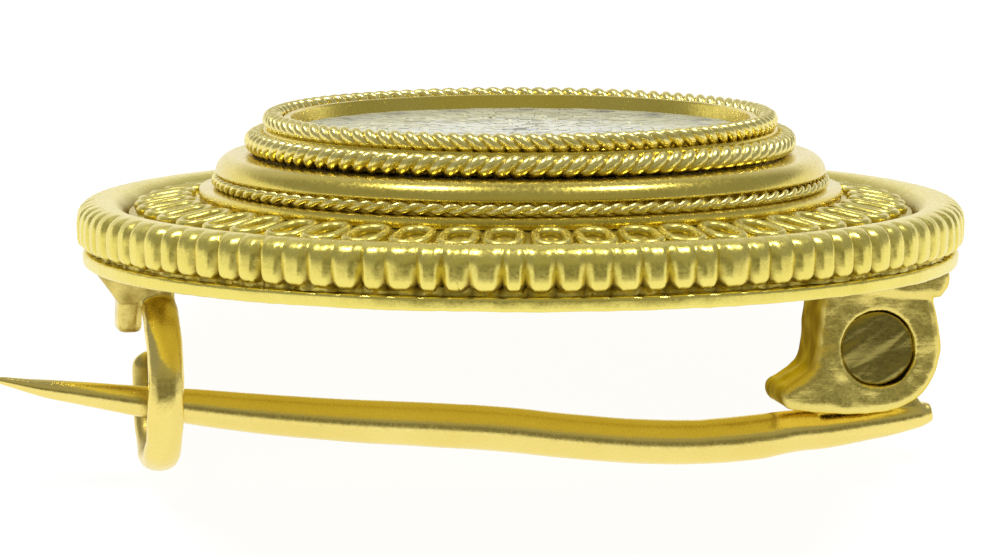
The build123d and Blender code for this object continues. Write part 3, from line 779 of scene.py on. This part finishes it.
def make_mosaic_panel():
    """Rings of small glass pieces set in cement, with a thin bed under them."""
    edge_gap = 0.03
    bed_top = MOSAIC_TOP - 0.04
    bed_colour = (0.66, 0.65, 0.47, 1)
    row = 0.33
    usual_length = 0.42
    thickness = 0.12
    bed = [(0, MOSAIC_BOTTOM), (MOSAIC_RADIUS, MOSAIC_BOTTOM), (MOSAIC_RADIUS, bed_top), (0, bed_top)]
    bm = turned(bed, steps=96)
    stone = bm.loops.layers.float_color.new("stone")
    for face in bm.faces:
        for loop in face.loops:
            loop[stone] = bed_colour
    for ring in range(int(MOSAIC_RADIUS / row)):
        radius = MOSAIC_RADIUS - edge_gap - row * (ring + 0.5)
        if radius < row:
            break
        count = max(6, round(2 * math.pi * radius / usual_length))
        offset = rng.random()
        for i in range(count):
            turn = 2 * math.pi * (i + offset + rng.uniform(-0.10, 0.10)) / count
            length = 2 * math.pi * radius / count * rng.uniform(0.92, 0.98)
            top = MOSAIC_TOP - rng.uniform(0.0, 0.015)
            place = (
                Matrix.Rotation(turn, 4, "Z") @ Matrix.Translation((radius, 0, top - thickness / 2))
                @ Matrix.Rotation(rng.uniform(-0.03, 0.03), 4, "Y")
                @ Matrix.Rotation(rng.uniform(-0.05, 0.05), 4, "Z")
                @ Matrix.Diagonal((row * rng.uniform(0.93, 0.98), length, thickness, 1)))
            made = bmesh.ops.create_cube(bm, size=1.0, matrix=place)["verts"]
            tone = rng.uniform(0.92, 1.06)
            colour = [c * tone for c in piece_colour(radius, turn)] + [1]
            for face in {f for v in made for f in v.link_faces}:
                for loop in face.loops:
                    loop[stone] = colour
    return lay_down("glass_mosaic", bm, GLASS_PIECES, ["mosaic_panel"], crease=25.0)


# The back

def hook_wire():
    """Bent hook of flat wire with a domed face and a rounded free end, about its own centre."""
    section_radius = CATCH_OUTER_RADIUS - CATCH_THICKNESS / 2
    squareness = 2.1
    end_length = 0.5
    hook = bmesh.new()
    bmesh.ops.create_circle(hook, segments=28, radius=1.0)
    for v in hook.verts:
        across, out = v.co.x, v.co.y
        flatten = (abs(across) ** squareness + abs(out) ** squareness) ** (-1 / squareness)
        v.co = (across * flatten * CATCH_WIDTH / 2, out * flatten * CATCH_THICKNESS / 2 + section_radius, 0)
    bmesh.ops.rotate(hook, verts=hook.verts, cent=(0, 0, 0), matrix=Matrix.Rotation(CATCH_ROOT, 3, "X"))
    bmesh.ops.spin(
        hook, geom=hook.verts[:] + hook.edges[:], cent=(0, 0, 0), axis=(1, 0, 0), angle=CATCH_SWEEP, steps=90)
    for v in hook.verts:
        turn = (math.atan2(v.co.z, v.co.y) - CATCH_ROOT) % (2 * math.pi)
        left = (CATCH_SWEEP - turn) * section_radius
        if -end_length < left < end_length:
            from_end = max(0.0, left) / end_length
            narrow = math.sqrt(max(0.10, 1 - (1 - from_end) ** 2))
            reach = math.hypot(v.co.y, v.co.z)
            thin = section_radius + (reach - section_radius) * narrow
            v.co = (v.co.x * narrow, v.co.y * thin / reach, v.co.z * thin / reach)
    bmesh.ops.holes_fill(hook, edges=[e for e in hook.edges if e.is_boundary], sides=0)
    return hook


def make_catch():
    """Hook on its neck, soldered to a wedge-shaped base beside a small foot."""
    top = -SOLDER_GAP
    foot_left = CATCH_X - 1.24
    base_y = 0.8
    lean = 0.20
    bm = hook_wire()
    bmesh.ops.translate(bm, verts=bm.verts, vec=(CATCH_X, 0, CATCH_CENTRE_HEIGHT))
    add_mesh(bm, block(centre=(CATCH_X, 0, top - 0.65), size=(1.00, 1.20, 1.30), round_by=0.15))
    base = slab([
        (CATCH_X - CATCH_BASE_REACH, top), (CATCH_X, top), (CATCH_X, top - CATCH_BASE_DEPTH),
        (foot_left, top - CATCH_BASE_DEPTH), (CATCH_X - CATCH_BASE_REACH, top - 0.10),
    ], -base_y, base_y, round_by=0.05)
    add_mesh(base, block(centre=(CATCH_X - 0.85, 0.4, top - 1.02), size=(0.78, 1.2, 2.03), round_by=0.18))
    for v in base.verts:
        v.co.y -= lean * v.co.z
    add_mesh(bm, base)
    bm = fused(bm, voxel=0.055, smoothing=12)
    work_by_hand(bm, depth=0.035, size=1.0)
    work_by_hand(bm, depth=0.008, size=0.35)

    def painted_shade(v):
        """Painted shade: most inside the bend, and in clouds up at the plate."""
        from_centre = Vector((0, v.co.y, v.co.z - CATCH_CENTRE_HEIGHT))
        inward = max(0.0, -v.normal.dot(from_centre.normalized()))
        near_plate = ramp(v.co.z, -1.9, -1.0)
        cloud = 0.5 + 0.5 * noise.noise(v.co * 2.2)
        return max(0.75 * inward, 0.9 * near_plate * cloud)
    mark(bm, "recess", painted_shade)
    return lay_down("hook_catch", bm, BRIGHT_GOLD, ["catch"], crease=None)


def lug_outline():
    """Boot-shaped side view of a lug: hollow side, nose, sole and round end."""
    side = HINGE_X - LUG_SIDE_REACH
    nose_x, nose_z = HINGE_X - 2.70, HINGE_HEIGHT - 1.53
    points = [
        (side + 0.52, -0.3), (side + 0.30, -0.8), (side + 0.12, -1.4), (side + 0.02, -2.1), (side, -2.7),
        (side - 0.05, -3.1), (side - 0.18, -3.4), (side - 0.45, -3.62),
    ]
    points += arc(nose_x, nose_z, radius=0.42, start=105, end=255, steps=9)
    points += [(side + 0.2, -4.77), (side + 1.0, -4.84), (side + 1.55, -4.86)]
    points += arc(HINGE_X, HINGE_HEIGHT, radius=2.03, start=272, end=360, steps=16)
    points += [(HINGE_X + 1.85, HINGE_HEIGHT + 1.2), (HINGE_X + 1.60, -0.3)]
    return points


def make_hinge():
    """Two boot-shaped lugs on a thick pad, joined by a wall, each with a sunk round seat for the rivet."""
    bm = bmesh.new()
    seat = (HINGE_X, HINGE_HEIGHT, RIVET_SINK_RADIUS)
    sink = LUG_OUTER_Y - RIVET_SINK_DEPTH
    for side in (-1, 1):
        inner, outer, floor = side * LUG_INNER_Y, side * LUG_OUTER_Y, side * sink
        add_mesh(bm, slab(lug_outline(), min(inner, outer), max(inner, outer), round_by=0.24, hole=seat))
        add_mesh(bm, drum(
            HINGE_X, HINGE_HEIGHT, RIVET_SINK_RADIUS + 0.2, min(inner, floor), max(inner, floor)))
    top = -SOLDER_GAP
    left, right = HINGE_X - LUG_SIDE_REACH, HINGE_X + HINGE_BASE_REACH
    pad_y = LUG_OUTER_Y + 0.12
    add_mesh(bm, slab([
        (left + 0.62, top), (HINGE_X + 1.70, top), (right, top - 0.26), (right, top - 0.78),
        (right - 0.30, top - 1.12), (HINGE_X + 0.6, top - 1.05), (left + 0.62, top - 0.75),
    ], -pad_y, pad_y, round_by=0.20))
    wall_top = -0.35
    wall_y = LUG_INNER_Y + 0.5
    wall = [(x, z) for x, z in lug_outline() if x < left + HINGE_WALL and z < wall_top]
    wall += [(left + HINGE_WALL, wall[-1][1] - 0.06), (left + HINGE_WALL, wall_top)]
    add_mesh(bm, slab(wall, -wall_y, wall_y))
    bm = fused(bm, voxel=0.06, smoothing=12)
    work_by_hand(bm, depth=0.08, size=1.1)
    work_by_hand(bm, depth=0.022, size=0.4)

    def painted_shade(v):
        """Painted shade: on the side towards the pin's point, and in clouds up at the plate."""
        cloud = 0.5 + 0.5 * noise.noise(v.co * 1.8)
        beside = max(0.0, -v.normal.x - 0.35) if v.co.x < HINGE_X else 0.0
        under_plate = ramp(v.co.z, -1.5, -0.5) if v.co.x < HINGE_X - 0.6 else 0.0
        return min(0.92, 1.6 * beside * (0.5 + 0.6 * cloud) + 0.9 * under_plate * cloud)
    mark(bm, "recess", painted_shade)
    return lay_down("boot_hinge", bm, LUG_GOLD, ["hinge"], crease=None)


def make_rivet():
    """Rivet whose sunk heads are worn hollow and filed across."""
    head_thickness = 0.25
    worn_from = RIVET_HEAD_Y - 0.15
    slant = math.radians(34.0)
    bm = drum(HINGE_X, HINGE_HEIGHT, RIVET_RADIUS, -RIVET_HEAD_Y + 0.1, RIVET_HEAD_Y - 0.1)
    for side in (-1, 1):
        inner, outer = side * (RIVET_HEAD_Y - head_thickness), side * RIVET_HEAD_Y
        add_mesh(bm, drum(
            HINGE_X, HINGE_HEIGHT, RIVET_HEAD_RADIUS, min(inner, outer), max(inner, outer), round_by=0.06))
    bm = fused(bm, voxel=0.05, smoothing=2)
    for v in bm.verts:
        if abs(v.co.y) > worn_from:
            x, z = v.co.x - HINGE_X, v.co.z - HINGE_HEIGHT
            along = x * math.cos(slant) + z * math.sin(slant)
            across = z * math.cos(slant) - x * math.sin(slant)
            file_marks = 0.07 * noise.noise(Vector((along * 0.5, across * 2.6, v.co.y)))
            dish = 0.05 * max(0.0, 1 - (x * x + z * z) / RIVET_HEAD_RADIUS ** 2)
            v.co.y += math.copysign(file_marks - dish, v.co.y)
    return lay_down("filed_rivet", bm, SHADED_RIVET_GOLD, ["hinge_rivet"], crease=None)


def stem_rod(rows):
    """Round rod through places given as X, height and share of the stem's radius."""
    curve = bpy.data.curves.new("stem", "CURVE")
    curve.dimensions = "3D"
    curve.bevel_depth = STEM_RADIUS
    curve.bevel_resolution = 12
    curve.resolution_u = 10
    curve.use_fill_caps = True
    spline = curve.splines.new("BEZIER")
    spline.bezier_points.add(len(rows) - 1)
    spline.radius_interpolation = "CARDINAL"
    for point, (x, z, share) in zip(spline.bezier_points, rows):
        point.co = (x, 0, z)
        point.radius = share
        point.handle_left_type = point.handle_right_type = "AUTO"
    return curve_mesh(curve)


def make_pin_stem():
    """Tapered springy stem that runs on into a rounded heel under the knuckle, all one run of metal."""
    half = KNUCKLE_WIDTH / 2
    cheek = KNUCKLE_RADIUS * math.sqrt(0.5)
    web_y = 0.36
    heel = [
        (13.20, -4.99, 0.42), (12.85, -5.05, 0.58), (12.30, -5.14, 0.68), (11.70, -5.22, 0.76),
        (10.80, -5.33, 0.83),
    ]
    shank = [(x, z, share * 1.01) for x, z, share in STEM_SHANK]
    root = stem_rod(heel + shank + [(*STEM_ROD[0][:2], 0.92)])
    add_mesh(root, drum(HINGE_X, HINGE_HEIGHT, KNUCKLE_RADIUS, -half, half, round_by=0.10))
    web = [
        (HINGE_X - cheek, HINGE_HEIGHT - cheek), (9.40, -5.00), (9.40, -5.40), (12.90, -5.10),
        (13.05, -4.95), (HINGE_X + cheek, HINGE_HEIGHT - cheek),
    ]
    add_mesh(root, slab(web, -web_y, web_y, round_by=0.12))
    bm = fused(root, voxel=0.055, smoothing=12)
    work_by_hand(bm, depth=0.02, size=0.9)

    # The free rod starts inside the fused shank, thinner than it, and is the thicker where that ends.
    emerging = [(x, z, share * within) for (x, z, share), within in zip(STEM_SHANK[-2:], (0.80, 0.97))]
    rod = stem_rod(emerging + STEM_ROD)
    work_by_hand(rod, depth=0.010, size=1.3)
    add_mesh(bm, rod)
    return lay_down(
        "tapered_pin", bm, BRIGHT_GOLD, ["pin_stem"], body="pin", crease=None)


make_plate()
make_reeded_rim()
make_filigree_field()
make_rope(
    "collar_twist", "collar_rope", COLLAR_ROPE_RADIUS, COLLAR_ROPE_HEIGHT, COLLAR_ROPE_DIAMETER,
    COLLAR_ROPE_LOBES, rises="right", painted_shade=0.0)
make_rope(
    "bezel_twist", "bezel_rope", BEZEL_ROPE_RADIUS, BEZEL_ROPE_HEIGHT, BEZEL_ROPE_DIAMETER,
    BEZEL_ROPE_LOBES, rises="right", painted_shade=0.25)
make_rope(
    "crown_twist", "crown_rope", CROWN_ROPE_RADIUS, CROWN_ROPE_HEIGHT, CROWN_ROPE_DIAMETER,
    CROWN_ROPE_LOBES, rises="left", painted_shade=0.25)
make_collar()
make_bezel()
make_mosaic_panel()
make_catch()
make_hinge()
make_rivet()
make_pin_stem()


# Studio

def make_floor():
    """Plain pale floor, lit through from below like a photographer's light table."""
    half_width = 6.0
    glow_strength = 1.13
    glow_share = 0.82
    bm = bmesh.new()
    bmesh.ops.create_grid(bm, x_segments=1, y_segments=1, size=half_width)
    mesh = bpy.data.meshes.new("floor")
    bm.to_mesh(mesh)
    bm.free()
    floor = bpy.data.objects.new("floor", mesh)
    bpy.context.scene.collection.objects.link(floor)
    material, tree, shader = new_material("floor")
    set_socket(shader, "Base Color", (0.90, 0.90, 0.90, 1))
    set_socket(shader, "Roughness", 0.8)
    set_socket(shader, "Specular IOR Level", 0.1)
    glow = tree.nodes.new("ShaderNodeEmission")
    set_socket(glow, "Strength", glow_strength)
    mixed = tree.nodes.new("ShaderNodeMixShader")
    set_socket(mixed, "Fac", glow_share)
    tree.links.new(shader.outputs["BSDF"], mixed.inputs[1])
    tree.links.new(glow.outputs["Emission"], mixed.inputs[2])
    tree.links.new(mixed.outputs["Shader"], tree.nodes["Material Output"].inputs["Surface"])
    mesh.materials.append(material)


def light_from(name, azimuth, elevation, distance, size, energy):
    """Soft light that looks at the brooch. Azimuth 0 is in front of it and 90 on the hinge's side."""
    a, e = math.radians(azimuth), math.radians(elevation)
    way = Vector((math.sin(a) * math.cos(e), -math.cos(a) * math.cos(e), math.sin(e)))
    lamp = bpy.data.lights.new(name, "AREA")
    lamp.shape = "RECTANGLE"
    lamp.size, lamp.size_y = size
    lamp.energy = energy
    holder = bpy.data.objects.new(name, lamp)
    holder.location = ORIGIN + way * distance
    holder.rotation_mode = "QUATERNION"
    holder.rotation_quaternion = (-way).to_track_quat("-Z", "Y")
    bpy.context.scene.collection.objects.link(holder)


def make_room():
    """Pale room: white below the brooch's own level, grey above, and a dark strip where the viewer is."""
    world = bpy.data.worlds.new("room")
    bpy.context.scene.world = world
    world.use_nodes = True
    tree = world.node_tree
    background = tree.nodes["Background"]
    place = tree.nodes.new("ShaderNodeTexCoord").outputs["Generated"]

    def along(direction):
        """How far a place in the room lies along a direction of the brooch's."""
        toward = tree.nodes.new("ShaderNodeVectorMath")
        toward.operation = "DOT_PRODUCT"
        toward.inputs[1].default_value = TURN @ Vector(direction)
        tree.links.new(place, toward.inputs[0])
        return toward.outputs["Value"]

    def fade(value, start, end, low, high):
        return add_range(tree, value, low, high, start, end, smooth=True)

    grey = 0.33
    dark = 0.19
    behind_glow = 0.26
    white = (1.0, 1.0, 1.0, 1)
    warm_white = (1.0, 0.96, 0.72, 1)
    height = along((0, 0, 1))
    sides = fade(height, -0.12, 0.10, 1.0, grey)
    strip = add_math(tree, "MINIMUM", fade(height, -0.36, -0.24, 1.0, dark), sides)
    strip_top = fade(height, 0.05, 0.22, 0.0, dark)
    front = add_math(tree, "ADD", strip, strip_top)
    in_front = fade(along((0, -1, 0)), 0.62, 0.84, 0.0, 1.0)
    rear_angle = math.radians(30)
    behind = fade(along((0, math.cos(rear_angle), math.sin(rear_angle))), 0.68, 0.92, 0.0, behind_glow)
    mixed = tree.nodes.new("ShaderNodeMix")
    tree.links.new(in_front, mixed.inputs["Factor"])
    tree.links.new(sides, mixed.inputs["A"])
    tree.links.new(front, mixed.inputs["B"])
    tree.links.new(add_math(tree, "ADD", mixed.outputs["Result"], behind), background.inputs["Strength"])
    warmth = add_colour_mix(tree, add_math(tree, "MULTIPLY", in_front, fade(height, -0.36, -0.24, 0.0, 1.0)))
    set_socket(warmth, "A", white)
    set_socket(warmth, "B", warm_white)
    tree.links.new(warmth.outputs["Result"], background.inputs["Color"])


# The camera keeps the photo's angle to the brooch: 6.4 degrees above its face and 8 degrees round
# towards the pin's point. Distances are in the brooch's millimetres.
VIEW_UP = math.radians(6.4477)
VIEW_ROUND = math.radians(8.0)
VIEW_DISTANCE = 280.0
VIEW_AIM = Vector((-0.887, 0.125, -0.488))
FOCAL_LENGTH_PIXELS = 8874.0
PHOTO_WIDTH_PIXELS = 984.0
SENSOR_WIDTH = 36.0


def make_camera():
    """Long lens at the distance that the fit to the photo gave."""
    turn_back = Matrix.Rotation(-VIEW_ROUND, 3, "Z")
    right = turn_back @ Vector((1, 0, 0))
    upward = turn_back @ Vector((0, math.sin(VIEW_UP), math.cos(VIEW_UP)))
    onward = turn_back @ Vector((0, math.cos(VIEW_UP), -math.sin(VIEW_UP)))
    lens = bpy.data.cameras.new("camera")
    lens.sensor_width = SENSOR_WIDTH
    lens.lens = FOCAL_LENGTH_PIXELS / PHOTO_WIDTH_PIXELS * SENSOR_WIDTH
    lens.clip_start = 0.01
    lens.clip_end = 20.0
    camera = bpy.data.objects.new("camera", lens)
    looks = Matrix((TURN @ right, TURN @ upward, -(TURN @ onward))).transposed().to_4x4()
    camera.matrix_world = Matrix.Translation(LAID @ (VIEW_AIM - onward * VIEW_DISTANCE)) @ looks
    bpy.context.scene.collection.objects.link(camera)
    bpy.context.scene.camera = camera


make_floor()
make_room()
light_from("left softbox", azimuth=-136, elevation=58, distance=0.6, size=(0.12, 0.12), energy=1.2)
light_from("right softbox", azimuth=127, elevation=62, distance=0.6, size=(0.12, 0.12), energy=1.2)
make_camera()
